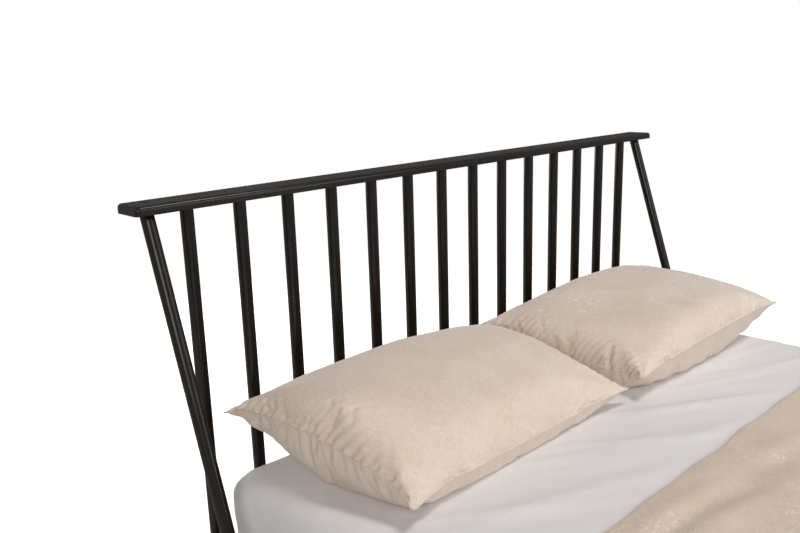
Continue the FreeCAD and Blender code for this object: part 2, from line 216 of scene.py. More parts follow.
def crease(x, y, centre, bearing, length, width, bend=0.0):
    """A soft ridge, 1 high: a bell across its line, fading at its ends; bend curves the line."""
    turn = math.radians(bearing)
    dx = x - centre[0]
    dy = y - centre[1]
    along = dx * math.cos(turn) + dy * math.sin(turn)
    across = dy * math.cos(turn) - dx * math.sin(turn) - bend * along * along
    return np.exp(-((across / width) ** 2) - (2 * along / length) ** 4)


def folds(x, y, seed, bearing, spacing):
    """Soft folds along a bearing, about 1 high: a cosine across it whose phase and height wander."""
    turn = math.radians(bearing)
    across = y * math.cos(turn) - x * math.sin(turn)
    wander = ripples(x, y, seed, 6, 0.15, 0.6)
    height = 0.5 + 0.5 * np.tanh(1.5 * ripples(x, y, seed + 1, 6, 0.15, 0.5))
    return height * np.cos(2 * np.pi * across / spacing + 1.6 * wander)


def puckers(along, inward, seed, spacing, reach):
    """Small folds that start at a seam: a wave of uneven pace along it, dying away inwards as a bell."""
    level = np.zeros_like(along)
    pace = (along + 0.3 * inward) / spacing + 0.35 * ripples(along, level, seed, 5, 0.08, 0.3)
    strength = np.clip(0.9 + 0.35 * ripples(along, level, seed + 1, 4, 0.12, 0.5), 0.5, 1.6)
    valley = 1 - 2 * np.exp(-((np.sin(np.pi * pace) / 0.8) ** 2))
    return strength * valley * np.exp(-((inward / (reach * strength)) ** 2)) * smooth_step(inward, 0, 0.006)


def corner_folds(x, y, seed):
    """Folds that fan out of a corner at the origin: a cosine round it, a bell away from it."""
    away = np.hypot(x, y)
    bearing = np.arctan2(np.abs(y), np.abs(x))
    fan = np.cos(15 * bearing + seed) * np.exp(-((away / 0.11) ** 2))
    return fan * smooth_step(away, 0.012, 0.04)


def grid_normals(points):
    """Unit normals of a grid surface: the cross product of its two directions."""
    normals = np.cross(np.gradient(points, axis=0), np.gradient(points, axis=1))
    return normals / np.linalg.norm(normals, axis=-1, keepdims=True)


def tube(path, radius, sides=8):
    """A round profile carried along a closed path of points, with its faces."""
    tangent = np.roll(path, -1, 0) - np.roll(path, 1, 0)
    tangent /= np.linalg.norm(tangent, axis=1, keepdims=True)
    side = np.cross(tangent, (0, 0, 1))
    side /= np.linalg.norm(side, axis=1, keepdims=True)
    over = np.cross(side, tangent)
    turn = np.linspace(0, 2 * np.pi, sides, endpoint=False)
    ring = np.cos(turn)[:, None, None] * side + np.sin(turn)[:, None, None] * over
    points = path[None] + radius * ring
    rings, around = points.shape[:2]
    index = np.arange(rings * around).reshape(rings, around)
    index = np.vstack([index, index[:1]])
    return points.reshape(-1, 3), grid_quads(np.hstack([index, index[:, :1]]))


# Material helpers

def colour(red, green, blue):
    """A colour written as it looks on screen, 0 to 255, as linear light."""
    channel = np.array([red, green, blue]) / 255
    linear = np.where(channel <= 0.04045, channel / 12.92, ((channel + 0.055) / 1.055) ** 2.4)
    return (*linear.tolist(), 1.0)


def set_inputs(tree, node, inputs):
    """Gives each input a value, or a link from another node's output."""
    for name, value in inputs.items():
        if isinstance(value, bpy.types.NodeSocket):
            tree.links.new(value, node.inputs[name])
        else:
            node.inputs[name].default_value = value


def add(tree, kind, inputs=None, **settings):
    """A shader node with its settings and inputs."""
    node = tree.nodes.new("ShaderNode" + kind)
    for name, value in settings.items():
        setattr(node, name, value)
    set_inputs(tree, node, inputs or {})
    return node


def mix_colour(tree, factor, first, second):
    """The colour between two others."""
    first_socket, second_socket, colour_out = 6, 7, 2
    inputs = {0: factor, first_socket: first, second_socket: second}
    return add(tree, "Mix", inputs, data_type="RGBA").outputs[colour_out]


def math_node(tree, operation, first, second):
    return add(tree, "Math", {0: first, 1: second}, operation=operation).outputs[0]


def summed(tree, first, *others):
    """The sum of several values."""
    for other in others:
        first = math_node(tree, "ADD", first, other)
    return first


def times(tree, first, second):
    return math_node(tree, "MULTIPLY", first, second)


def stretched(tree, vector, factors):
    return add(tree, "VectorMath", {0: vector, 1: factors}, operation="MULTIPLY").outputs[0]


def spread(tree, value, low, high, to_low=0.0, to_high=1.0):
    """A value between low and high, spread over a new range and held inside it."""
    inputs = {"Value": value, "From Min": low, "From Max": high, "To Min": to_low, "To Max": to_high}
    return add(tree, "MapRange", inputs).outputs[0]


def noise(tree, vector, scale, detail, roughness, stretch=None):
    """Noise over a vector, which may be stretched first."""
    if stretch is not None:
        vector = stretched(tree, vector, stretch)
    inputs = {"Vector": vector, "Scale": scale, "Detail": detail, "Roughness": roughness}
    return add(tree, "TexNoise", inputs).outputs["Fac"]


def new_group(name, inputs, outputs):
    """An empty shader node group with named sockets, and its two end nodes."""
    group = bpy.data.node_groups.new(name, "ShaderNodeTree")
    for socket, kind in inputs:
        group.interface.new_socket(socket, in_out="INPUT", socket_type="NodeSocket" + kind)
    for socket, kind in outputs:
        group.interface.new_socket(socket, in_out="OUTPUT", socket_type="NodeSocket" + kind)
    return group, group.nodes.new("NodeGroupInput").outputs, group.nodes.new("NodeGroupOutput").inputs


def place_group(tree, group, inputs):
    """One use of a node group with its own values."""
    node = tree.nodes.new("ShaderNodeGroup")
    node.node_tree = group
    set_inputs(tree, node, inputs)
    return node.outputs


def new_material(name, **settings):
    """A material with its Principled shader's plain values set."""
    material = bpy.data.materials.new(name)
    material.use_nodes = True
    shader = material.node_tree.nodes["Principled BSDF"]
    for socket, value in settings.items():
        shader.inputs[socket.replace("_", " ")].default_value = value
    return material, material.node_tree, shader


def object_place(tree):
    return add(tree, "TexCoord").outputs["Object"]


def set_colour(tree, shader, value):
    tree.links.new(value, shader.inputs["Base Color"])


def set_bump(tree, shader, height, distance, strength):
    bump = add(tree, "Bump", {"Height": height, "Distance": distance, "Strength": strength})
    tree.links.new(bump.outputs["Normal"], shader.inputs["Normal"])


# Shared surface effects

def wood_grain_group():
    """Long fibres and open pores: noise drawn out along the grain."""
    group, given, out = new_group(
        "wood_grain",
        [("Vector", "Vector"), ("Stretch", "Vector")],
        [("Fibre", "Float"), ("Pores", "Float")],
    )
    drawn = stretched(group, given["Vector"], given["Stretch"])
    fibre = noise(group, drawn, 9.0, 4.0, 0.6)
    pores = spread(group, noise(group, drawn, 42.0, 2.0, 0.5), 0.56, 0.68)
    group.links.new(fibre, out["Fibre"])
    group.links.new(pores, out["Pores"])
    return group


def brushed_pile_group():
    """Short brushed pile: soft clouds, fine streaks along the warp, pale flecks where the pile is worn."""
    tints = [("Deep", "Color"), ("Pale", "Color"), ("Fleck", "Color")]
    group, given, out = new_group(
        "brushed_pile",
        [("Vector", "Vector"), *tints, ("Flecks", "Float")],
        [("Color", "Color"), ("Height", "Float")],
    )
    vector = given["Vector"]
    cloud = noise(group, vector, 8.0, 4.0, 0.62)
    streak = noise(group, vector, 260.0, 2.0, 0.55, (1.0, 0.3, 1.0))
    fibre = noise(group, vector, 700.0, 2.0, 0.6, (1.0, 0.4, 1.0))
    tone = summed(
        group,
        spread(group, cloud, 0.3, 0.7, 0.0, 0.34),
        spread(group, streak, 0.3, 0.7, 0.0, 0.36),
        spread(group, fibre, 0.3, 0.7, 0.0, 0.3),
    )
    worn = spread(group, noise(group, vector, 6.0, 3.0, 0.6), 0.48, 0.60)
    weft_dash = spread(group, noise(group, vector, 180.0, 3.0, 0.65, (0.22, 1.0, 1.0)), 0.55, 0.63)
    warp_dash = spread(group, noise(group, vector, 200.0, 3.0, 0.65, (1.0, 0.22, 1.0)), 0.58, 0.66)
    dash = math_node(group, "MAXIMUM", weft_dash, warp_dash)
    fleck = times(group, times(group, worn, dash), given["Flecks"])
    base = mix_colour(group, tone, given["Deep"], given["Pale"])
    group.links.new(mix_colour(group, fleck, base, given["Fleck"]), out["Color"])
    group.links.new(summed(group, times(group, streak, 0.6), times(group, fibre, 0.4)), out["Height"])
    return group


def plain_weave_group():
    """Warp and weft threads: two crossed sine waves, with slubs that thicken some threads."""
    group, given, out = new_group(
        "plain_weave",
        [("Vector", "Vector"), ("Threads", "Float")],
        [("Height", "Float"), ("Slub", "Float")],
    )
    axes = add(group, "SeparateXYZ", {0: given["Vector"]}).outputs
    pace = times(group, given["Threads"], 2 * math.pi)
    warp = math_node(group, "SINE", times(group, axes["X"], pace), 0.0)
    weft = math_node(group, "SINE", times(group, axes["Y"], pace), 0.0)
    slub_warp = noise(group, given["Vector"], 240.0, 2.0, 0.5, (1.0, 0.08, 1.0))
    slub_weft = noise(group, given["Vector"], 240.0, 2.0, 0.5, (0.08, 1.0, 1.0))
    slub = times(group, summed(group, slub_warp, slub_weft), 0.5)
    crossing = times(group, summed(group, warp, weft), 0.25)
    group.links.new(summed(group, crossing, slub), out["Height"])
    group.links.new(slub, out["Slub"])
    return group


wood_grain = wood_grain_group()
brushed_pile = brushed_pile_group()
plain_weave = plain_weave_group()


# Materials

def black_lacquer(name, stretch):
    """Satin black lacquer over open-grained wood: warm black, duller at a slant, a trace of the grain."""
    material, tree, shader = new_material(name, Specular_IOR_Level=0.0, Roughness=0.6, Coat_Roughness=0.19)
    place = object_place(tree)
    grain = place_group(tree, wood_grain, {"Vector": place, "Stretch": stretch})
    tone = spread(tree, grain["Fibre"], 0.35, 0.65)
    set_colour(tree, shader, mix_colour(tree, tone, colour(17, 11, 6), colour(25, 18, 11)))
    haze = noise(tree, place, 14.0, 3.0, 0.6)
    gloss = summed(tree, spread(tree, tone, 0.0, 1.0, 0.31, 0.27), spread(tree, haze, 0.3, 0.7, 0.0, 0.04))
    slant = add(tree, "LayerWeight", {"Blend": 0.5}).outputs["Facing"]
    gloss = times(tree, gloss, spread(tree, slant, 0.35, 0.95, 1.0, 0.25))
    tree.links.new(gloss, shader.inputs["Coat Weight"])
    relief = math_node(tree, "SUBTRACT", grain["Fibre"], times(tree, grain["Pores"], 0.35))
    set_bump(tree, shader, relief, 0.0002, 0.12)
    return material


def pale_wood(name, stretch):
    """Planed pale softwood: growth streaks, a little darker in the pores."""
    material, tree, shader = new_material(name, Roughness=0.62, Specular_IOR_Level=0.35)
    place = object_place(tree)
    grain = place_group(tree, wood_grain, {"Vector": place, "Stretch": stretch})
    streaks = spread(tree, grain["Fibre"], 0.3, 0.7)
    body = mix_colour(tree, streaks, colour(196, 160, 116), colour(222, 192, 150))
    pores = times(tree, grain["Pores"], 0.35)
    set_colour(tree, shader, mix_colour(tree, pores, body, colour(160, 122, 82)))
    set_bump(tree, shader, grain["Fibre"], 0.0005, 0.4)
    return material


def zinc_steel():
    """Zinc-plated steel with a faint spangle."""
    material, tree, shader = new_material("zinc_steel", Metallic=1.0)
    place = object_place(tree)
    spangle = add(tree, "TexVoronoi", {"Vector": place, "Scale": 160.0}).outputs["Distance"]
    set_colour(tree, shader, mix_colour(tree, spangle, colour(168, 170, 174), colour(196, 197, 199)))
    tree.links.new(spread(tree, spangle, 0.0, 0.8, 0.28, 0.42), shader.inputs["Roughness"])
    return material


def foot_plastic():
    """Moulded dark plastic with a fine spark-eroded texture."""
    material, tree, shader = new_material("foot_plastic", Roughness=0.55)
    pits = noise(tree, object_place(tree), 900.0, 2.0, 0.5)
    set_colour(tree, shader, mix_colour(tree, pits, colour(38, 38, 38), colour(56, 55, 54)))
    set_bump(tree, shader, pits, 0.0003, 0.5)
    return material


def grey_felt():
    """Pressed wool felt: tangled fibres, quite matt."""
    material, tree, shader = new_material("grey_felt", Roughness=0.95, Sheen_Weight=0.3)
    tangle = noise(tree, object_place(tree), 700.0, 4.0, 0.7)
    set_colour(tree, shader, mix_colour(tree, tangle, colour(76, 73, 70), colour(112, 108, 104)))
    set_bump(tree, shader, tangle, 0.0008, 0.6)
    return material


def cloth_coordinates(tree):
    return add(tree, "UVMap", uv_map="cloth").outputs["UV"]


def brushed_fabric(name, deep, pale, fleck, flecks):
    """Beige brushed fabric for the pillow tops and the duvet."""
    material, tree, shader = new_material(name, Roughness=0.88, Specular_IOR_Level=0.2, Sheen_Weight=0.36,
                                          Sheen_Roughness=0.45)
    shader.inputs["Sheen Tint"].default_value = colour(255, 250, 244)
    tints = {"Deep": deep, "Pale": pale, "Fleck": fleck}
    pile = place_group(tree, brushed_pile, {"Vector": cloth_coordinates(tree), **tints, "Flecks": flecks})
    set_colour(tree, shader, pile["Color"])
    set_bump(tree, shader, pile["Height"], 0.0004, 0.3)
    return material


def woven_cotton(name, deep, pale, tint, threads):
    """Plain woven cotton: even threads with slubs, and a faint broad tint."""
    material, tree, shader = new_material(name, Roughness=0.78, Specular_IOR_Level=0.25, Sheen_Weight=0.08)
    place = cloth_coordinates(tree)
    weave = place_group(tree, plain_weave, {"Vector": place, "Threads": threads})
    body = mix_colour(tree, spread(tree, weave["Slub"], 0.35, 0.65), deep, pale)
    drift = spread(tree, noise(tree, place, 2.6, 2.0, 0.5), 0.4, 0.7, 0.0, 0.5)
    set_colour(tree, shader, mix_colour(tree, drift, body, tint))
    set_bump(tree, shader, weave["Height"], 0.0001, 0.3)
    return material


def striped_ticking():
    """Mattress ticking: off-white twill with fine grey stripes along the bed."""
    material, tree, shader = new_material("striped_ticking", Roughness=0.8, Specular_IOR_Level=0.25)
    place = cloth_coordinates(tree)
    weave = place_group(tree, plain_weave, {"Vector": place, "Threads": 900.0})
    across = add(tree, "SeparateXYZ", {0: place}).outputs["X"]
    stripe_spacing = 0.04
    wave = math_node(tree, "SINE", times(tree, across, 2 * math.pi / stripe_spacing), 0.0)
    stripe = spread(tree, wave, 0.82, 0.9)
    body = mix_colour(tree, weave["Slub"], colour(226, 221, 213), colour(238, 235, 229))
    set_colour(tree, shader, mix_colour(tree, stripe, body, colour(150, 152, 158)))
    set_bump(tree, shader, weave["Height"], 0.0003, 0.4)
    return material


along_x = (1.0, 14.0, 14.0)
along_y = (14.0, 1.0, 14.0)
along_z = (14.0, 14.0, 1.0)
pillow_tints = colour(207, 183, 166), colour(233, 222, 210), colour(243, 237, 230)
plain_tints = colour(208, 193, 180), colour(217, 203, 191), colour(211, 196, 183)
duvet_tints = colour(194, 173, 156), colour(229, 212, 197), colour(237, 230, 221)
sheet_tints = colour(226, 221, 221), colour(231, 227, 227), colour(226, 219, 221)
pillow_brushed = brushed_fabric("pillow_brushed", *pillow_tints, flecks=0.15)
pillow_worn = brushed_fabric("pillow_worn", *pillow_tints, flecks=0.75)
pillow_plain = woven_cotton("pillow_plain", *plain_tints, threads=1300.0)
duvet_brushed = brushed_fabric("duvet_brushed", *duvet_tints, flecks=0.55)
sheet_cotton = woven_cotton("sheet_cotton", *sheet_tints, threads=1600.0)
ticking = striped_ticking()


def dress_frame():
    """Gives every shown CAD node its finish, by the start of its name."""
    lacquer_cross = black_lacquer("black_lacquer_cross", along_x)
    lacquer_long = black_lacquer("black_lacquer_long", along_y)
    lacquer_upright = black_lacquer("black_lacquer_upright", along_z)
    pale_cross = pale_wood("pale_wood_cross", along_x)
    steel = zinc_steel()
    finishes = {
        "top_rail": lacquer_cross,
        "spindle": lacquer_upright,
        "raked_post": lacquer_upright,
        "side_ledge": lacquer_long,
        "head_ledge": lacquer_cross,
        "foot_ledge": lacquer_cross,
        "side_apron": lacquer_long,
        "head_beam": lacquer_cross,
        "foot_apron": lacquer_cross,
        "post_block": lacquer_long,
        "corner_blocks": pale_cross,
        "leg_foot": lacquer_upright,
        "leg_head": lacquer_upright,
        "leg_glides": grey_felt(),
        "leg_bolts": steel,
        "centre_beam": pale_wood("pale_wood_long", along_y),
        "beam_hangers": steel,
        "centre_leg": pale_wood("pale_wood_upright", along_z),
        "levelling_foot": foot_plastic(),
        "slat_cleat": pale_wood("pale_wood_cleat", along_y),
        "slat_": pale_cross,
        "frame_bolts": steel,
        "barrel_nuts": steel,
    }
    for name, node in nodes.items():
        for start, finish in finishes.items():
            if name.startswith(start):
                node.data.materials.clear()
                node.data.materials.append(finish)
                break


dress_frame()


# Mattress

def rounded_outline(half_x, half_y, centre_y, radius, straight=40, arc=12):
    """A rectangle with round corners, as a ring of points anticlockwise from the right."""
    corners = ((1, 1, 0.0), (-1, 1, 0.5), (-1, -1, 1.0), (1, -1, 1.5))
    rows = []
    for sign_x, sign_y, start in corners:
        turn = np.pi * (start + np.linspace(0, 0.5, arc))
        centre = np.array([sign_x * (half_x - radius), sign_y * (half_y - radius)])
        rows.append(centre + radius * np.stack([np.cos(turn), np.sin(turn)], -1))
    ring = []
    for here, there in zip(rows, rows[1:] + rows[:1]):
        share = np.linspace(0, 1, straight + 2)[1:-1, None]
        ring += [here, here[-1] * (1 - share) + there[0] * share]
    return np.vstack(ring) + (0, centre_y)


def build_mattress():
    """A profile carried round the mattress's outline, from the middle of its base to the middle of its top.

    The border has two shallow stitched channels."""
    half_x = mattress_high.x
    half_y = (mattress_high.y - mattress_low.y) / 2
    centre_y = (mattress_high.y + mattress_low.y) / 2
    low, high = mattress_low.z, mattress_high.z
    base_turn = np.linspace(0, np.pi / 2, 7)
    edge_turn = np.linspace(0, np.pi / 2, 13)
    wall = np.linspace(low + mattress_base_edge, high - mattress_edge, 40)[1:-1]
    height_share = (wall - wall[0]) / (wall[-1] - wall[0])
    channels = (np.exp(-(((height_share - place) / 0.05) ** 2)) for place in (0.33, 0.67))
    channel = mattress_channel * sum(channels)
    inset = np.concatenate([
        mattress_base_edge * (1 - np.sin(base_turn)),
        channel,
        mattress_edge * (1 - np.cos(edge_turn)),
    ])
    height = np.concatenate([
        low + mattress_base_edge * (1 - np.cos(base_turn)),
        wall,
        high - mattress_edge * (1 - np.sin(edge_turn)),
    ])
    rings = []
    for depth, z in zip(inset, height):
        ring = rounded_outline(half_x - depth, half_y - depth, centre_y, mattress_corner - depth)
        rings.append(np.column_stack([ring, np.full(len(ring), z)]))
    middle = np.array([0, centre_y, 0])
    shrink = np.linspace(1, 0.02, 14)[1:]
    base = [middle + (rings[0] - middle) * (s, s, 1) for s in shrink[::-1]]
    top = [middle + (rings[-1] - middle) * (s, s, 1) for s in shrink]
    rings = np.array(base + rings + top)
    count, around = rings.shape[:2]
    points = np.vstack([rings.reshape(-1, 3), (0, centre_y, low), (0, centre_y, high)])
    base_pole, top_pole = len(points) - 2, len(points) - 1
    first = np.arange(around)
    last = first + (count - 1) * around
    base_fan = np.stack([np.full(around, base_pole), np.roll(first, -1), first], -1)
    top_fan = np.stack([np.full(around, top_pole), last, np.roll(last, -1)], -1)
    faces = ring_quads(count, around)[:, ::-1].tolist() + base_fan.tolist() + top_fan.tolist()
    piece = make_piece("mattress_body", points, faces, [ticking], "mattress_set", points[:, :2])
    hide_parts("mattress")


# Cloth that lies on the mattress and falls over its edges

def edge_profile(reach, corner, edge, top, flare=0.0):
    """Out and height along the cloth past the flat: level, a quarter circle, then a fall that leans out."""
    level = corner - edge
    turn = np.clip((reach - level) / edge, 0, np.pi / 2)
    fall = np.maximum(reach - level - edge * np.pi / 2, 0)
    out = np.minimum(reach, level) + edge * np.sin(turn) + fall * math.sin(flare)
    height = top - edge * (1 - np.cos(turn)) - fall * math.cos(flare)
    return out, height, fall


def profile_length(corner, edge, top, hem, flare=0.0):
    """Length of cloth from the flat to a hem at a given height."""
    return corner - edge + edge * math.pi / 2 + (top - edge - hem) / math.cos(flare)


def over_edges(across, along, half_x, low_y, high_y):
    """Where flat cloth points go on a rounded block.

    Inside a rectangle the cloth lies flat. Past it, the larger overshoot is how far down the profile a
    point lies, and the ratio of the two overshoots is its bearing round the corner."""
    over_x = np.maximum(np.abs(across) - half_x, 0)
    over_y = np.maximum(along - high_y, 0) + np.maximum(low_y - along, 0)
    reach = np.maximum(over_x, over_y)
    share = (over_y - over_x) / np.maximum(reach, 1e-9)
    bearing = np.pi / 4 * (1 + share)
    side_y = np.where(along > high_y, 1.0, -1.0)
    outward = np.stack([np.cos(bearing) * np.sign(across), np.sin(bearing) * side_y], -1)
    outward *= (reach > 0)[..., None]
    flat = np.stack([np.clip(across, -half_x, half_x), np.clip(along, low_y, high_y)], -1)
    return flat, outward, reach, bearing


def sheet_creases(x, y):
    """Soft wrinkles that run across the bed, seen between the pillows and the duvet."""
    lines = (
        ((0.10, 0.535), -32, 0.42, 0.011, 0.0022, 0.25),
        ((0.20, 0.475), -28, 0.50, 0.016, 0.0020, -0.20),
        ((0.34, 0.520), -24, 0.46, 0.010, 0.0016, 0.30),
        ((-0.08, 0.490), -38, 0.34, 0.014, 0.0018, 0.0),
        ((-0.22, 0.545), -26, 0.40, 0.018, 0.0018, 0.35),
        ((-0.36, 0.470), -20, 0.44, 0.022, 0.0022, -0.25),
        ((-0.52, 0.540), -34, 0.30, 0.014, 0.0016, 0.0),
        ((0.52, 0.470), -22, 0.48, 0.014, 0.0020, 0.2),
        ((0.60, 0.560), -12, 0.36, 0.010, 0.0014, 0.0),
        ((-0.70, 0.700), -70, 0.40, 0.016, 0.0018, 0.2),
        ((-0.72, 0.900), -60, 0.26, 0.012, 0.0016, 0.0),
        ((0.02, 0.420), -18, 0.60, 0.024, 0.0018, 0.1),
        ((-0.60, 0.420), -40, 0.40, 0.020, 0.0020, 0.1),
    )
    total = np.zeros_like(x)
    for centre, bearing, length, width, height, bend in lines:
        total += height * crease(x, y, centre, bearing, length, width, bend)
    return total


def build_sheet():
    """A flat sheet laid over the mattress and down its sides, with wrinkles where nothing presses it."""
    corner = mattress_corner + sheet_allowance
    edge = mattress_edge + sheet_allowance
    length = profile_length(corner, edge, bed_top, sheet_low.z)
    half_x = sheet_high.x - corner
    low_y, high_y = sheet_low.y + corner, sheet_high.y - corner
    width_cut, length_cut = 2 * (half_x + length), high_y - low_y + 2 * length
    across = np.linspace(-width_cut / 2, width_cut / 2, round(width_cut / sheet_step) + 1)
    along = np.linspace(low_y - length, high_y + length, round(length_cut / sheet_step) + 1)
    across, along = np.meshgrid(across, along, indexing="ij")
    flat, outward, reach, bearing = over_edges(across, along, half_x, low_y, high_y)
    out, height, fall = edge_profile(reach, corner, edge, bed_top)
    past_duvet = along - duvet_high.y
    loose_top = smooth_step(past_duvet, sheet_loose_start, sheet_loose_full)
    pressed = smooth_step(along, pressed_front, pressed_front + pressed_ease)
    pressed = pressed * smooth_step(across, pressed_left, pressed_left + pressed_ease)
    loose = loose_top * (1 - pressed)
    plan_x = flat[..., 0] + out * outward[..., 0]
    plan_y = flat[..., 1] + out * outward[..., 1]
    wrinkle = sheet_crease_gain * sheet_creases(plan_x, plan_y)
    wrinkle += sheet_fine_fold * (1 + folds(plan_x, plan_y, 21, -30, 0.045))
    wrinkle += sheet_broad_fold * (1 + folds(plan_x, plan_y, 25, -40, 0.12))
    ear = np.exp(-(((bearing - np.pi / 4) / 0.22) ** 2)) * smooth_step(reach, 0.03, 0.07)
    ear *= 1 - smooth_step(fall, 0.0, 0.09)
    gather = np.sin(2 * bearing) ** 2 * (0.5 + 0.5 * np.cos(26 * bearing)) * smooth_step(fall, 0.02, 0.14)
    out = out + sheet_corner_gather * gather + sheet_corner_ear * ear
    out += sheet_side_fold * (1 + folds(across, along, 31, 75, 0.11)) * smooth_step(fall, 0, 0.05)
    plan = flat + out[..., None] * outward
    points = np.concatenate([plan, (height + wrinkle * loose * (fall == 0))[..., None]], -1)
    index = np.arange(across.size).reshape(across.shape)
    coordinates = np.stack([across, along], -1).reshape(-1, 2)
    piece = make_piece("sheet_cover", points.reshape(-1, 3), grid_quads(index).tolist(), [sheet_cotton],
                       "mattress_set", coordinates)
    wall = piece.modifiers.new("Solidify", "SOLIDIFY")
    wall.thickness = sheet_thickness
    wall.offset = -1.0
    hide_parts("fitted_sheet")


# Duvet

def rim_spaced(low, high, step, radius):
    """Even places from low to high, drawn closer together at the rims, where the edge is rounded."""
    turn = np.linspace(0, np.pi / 2, 7)[:-1]
    rim = radius * (1 - np.cos(turn))
    count = round((high - low - 2 * radius) / step) + 1
    middle = np.linspace(low + radius, high - radius, count)
    return np.concatenate([low + rim, middle, (high - rim)[::-1]])


def duvet_folds(x, y):
    """Soft rolls and hollows on the duvet's top, with two hollows that run along its head edge."""
    head = duvet_high.y
    hollow = 0.008 * crease(x, y, (-0.30, head - 0.078), -6, 0.34, 0.022, -0.9)
    hollow += 0.006 * crease(x, y, (0.03, head - 0.120), -14, 0.30, 0.024, 0.3)
    hollow += 0.005 * crease(x, y, (0.42, head - 0.170), 10, 0.40, 0.028, -0.3)
    roll = 0.005 * crease(x, y, (-0.28, head - 0.042), -4, 0.44, 0.026, -0.6)
    roll += 0.004 * crease(x, y, (0.06, head - 0.080), -12, 0.40, 0.028, 0.2)
    roll += 0.005 * crease(x, y, (-0.20, head - 0.135), -10, 0.44, 0.034, -0.4)
    return roll - hollow


def build_duvet():
    """A stuffed sheet laid on the bed and over its sides and foot, whose fall swings out and in by turns.

    Its two faces stand off a middle surface by half its thickness, which runs out in a half round at the
    rim. Towards the head it thins, and its edge wanders a little."""
    half = duvet_thickness / 2
    lift = sheet_allowance + soft_gap + half
    corner, edge = mattress_corner + lift, mattress_edge + lift
    top = bed_top + soft_gap + half
    length = profile_length(corner, edge, top, duvet_low.z + duvet_hem_lift, duvet_flare)
    half_x = mattress_high.x + lift - corner
    low_y = mattress_low.y - lift + corner
    width_cut, length_cut = 2 * (half_x + length), duvet_high.y - low_y + length
    across = rim_spaced(-width_cut / 2, width_cut / 2, duvet_step, half)
    along = rim_spaced(low_y - length, duvet_high.y, duvet_step, half)
    across, along = np.meshgrid(across, along, indexing="ij")
    flat, outward, reach, bearing = over_edges(across, along, half_x, low_y, np.inf)
    out, height, fall = edge_profile(reach, corner, edge, top, duvet_flare)
    side_share = (duvet_high.y - flat[..., 1]) / (duvet_high.y - low_y)
    foot_share = (flat[..., 0] + half_x) / (2 * half_x)
    side_wave = np.sin(np.pi * duvet_side_half_folds * side_share) * np.cos(bearing) ** 2
    foot_wave = np.sin(np.pi * duvet_foot_half_folds * foot_share) * np.sin(bearing) ** 2
    corner_wave = np.sin(2 * bearing) ** 2 * (0.9 - 0.5 * np.cos(8 * bearing))
    swing = duvet_fold_depth * (side_wave + foot_wave + corner_wave) * smooth_step(fall, -0.02, fall.max())
    plan = flat + (out + swing)[..., None] * outward
    middle = np.concatenate([plan, height[..., None]], -1)
    normal = grid_normals(middle)
    rim = np.minimum.reduce([
        across - across.min(), across.max() - across, along - along.min(), along.max() - along,
    ])
    full = 1 - duvet_head_taper * (1 - smooth_step(along.max() - along, 0.0, duvet_taper_reach))
    thickness = half * full * np.sqrt(np.clip(1 - (1 - np.minimum(rim / half, 1)) ** 2, 0, 1))
    middle -= normal * (half * (1 - full))[..., None]
    sway = duvet_head_sway * ripples(across, np.zeros_like(across), 17, 6, 0.12, 0.45)
    shift = duvet_head_shift + np.clip(sway, -duvet_sway_limit, duvet_sway_limit)
    middle[..., 1] += shift * smooth_step(along, duvet_high.y - duvet_shift_reach, duvet_high.y)
    puff = duvet_folds(middle[..., 0], middle[..., 1])
    puff += duvet_puff * (1 + ripples(across, along, 11, 16, 0.10, 0.45))
    puff *= smooth_step(rim, 0.002, 0.03) * smooth_step(-fall, -0.08, 0)
    upper = middle + normal * (thickness + puff)[..., None]
    lower = middle - normal * thickness[..., None]
    index, lower_index, inner = sewn_index(across.shape)
    cloth = np.stack([across, along], -1)
    faces = sewn_faces(index, lower_index).tolist()
    piece = make_piece("duvet_cover", sewn_values(upper, lower, inner), faces, [duvet_brushed], "duvet",
                       sewn_values(cloth, cloth, inner))
    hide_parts("duvet")


# Pillows

def panel_places(counts):
    """Cloth coordinates of a pillow's panel in metres from its middle."""
    x = np.linspace(-pillow_flat[0] / 2, pillow_flat[0] / 2, counts[0])
    y = np.linspace(-pillow_flat[1] / 2, pillow_flat[1] / 2, counts[1])
    return np.meshgrid(x, y, indexing="ij")


def sewn_panels(seed):
    """Two flat panels sewn round their edge, with a little air between them, as points and faces."""
    counts = [round(side / pillow_step) + 1 for side in pillow_flat]
    x, y = panel_places(counts)
    s, t = 2 * x / pillow_flat[0], 2 * y / pillow_flat[1]
    loft = pillow_start_loft * (1 - s * s) * (1 - t * t) * (1 + 0.12 * ripples(s, t, seed, 24, 0.6, 2.4))
    upper = np.stack([x, y, loft], -1)
    index, lower_index, inner = sewn_index(x.shape)
    return sewn_values(upper, upper * (1, 1, -1), inner), sewn_faces(index, lower_index), index, lower_index


